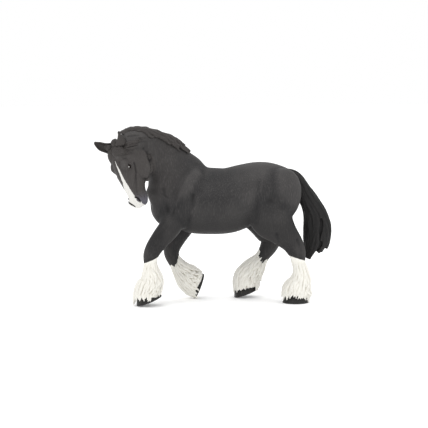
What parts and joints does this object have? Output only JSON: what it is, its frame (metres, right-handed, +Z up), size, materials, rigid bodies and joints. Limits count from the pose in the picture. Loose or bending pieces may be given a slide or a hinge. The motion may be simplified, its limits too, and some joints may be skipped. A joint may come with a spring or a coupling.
{
  "type": "toy shire horse figurine",
  "caption": "Small moulded plastic figure of a black shire horse walking, head turned and tucked, with long white leg feather, wavy mane, full tail and dark hooves.",
  "frame": {"origin": "middle of the bounding box on the ground, under the belly", "axes": "+Z up, the horse faces -X, its right side is +Y and its left side, towards which it turns its head, is -Y"},
  "size_m": [0.1586, 0.047, 0.1173],
  "materials": {
    "black_coat": "matt black paint with a fine moulded hair texture",
    "black_hair": "matt black paint on moulded mane, forelock and tail",
    "white_feather": "matt off-white paint with a grey wash in the grooves",
    "dark_hoof": "satin black paint",
    "glossy_eye": "gloss black paint"
  },
  "bodies": {
    "root": {"torso": "black_coat", "neck": "black_coat", "head": "black_coat", "ear_left": "black_coat", "ear_right": "black_coat", "eye_left": "glossy_eye", "eye_right": "glossy_eye", "forelock": "black_hair", "mane": "black_hair", "tail": "black_hair", "leg_fore_left": "black_coat", "leg_fore_right": "black_coat", "leg_hind_left": "black_coat", "leg_hind_right": "black_coat", "feather_fore_left": "white_feather", "feather_fore_right": "white_feather", "feather_hind_left": "white_feather", "feather_hind_right": "white_feather", "hoof_fore_left": "dark_hoof", "hoof_fore_right": "dark_hoof", "hoof_hind_left": "dark_hoof", "hoof_hind_right": "dark_hoof"}
  },
  "joints": []
}
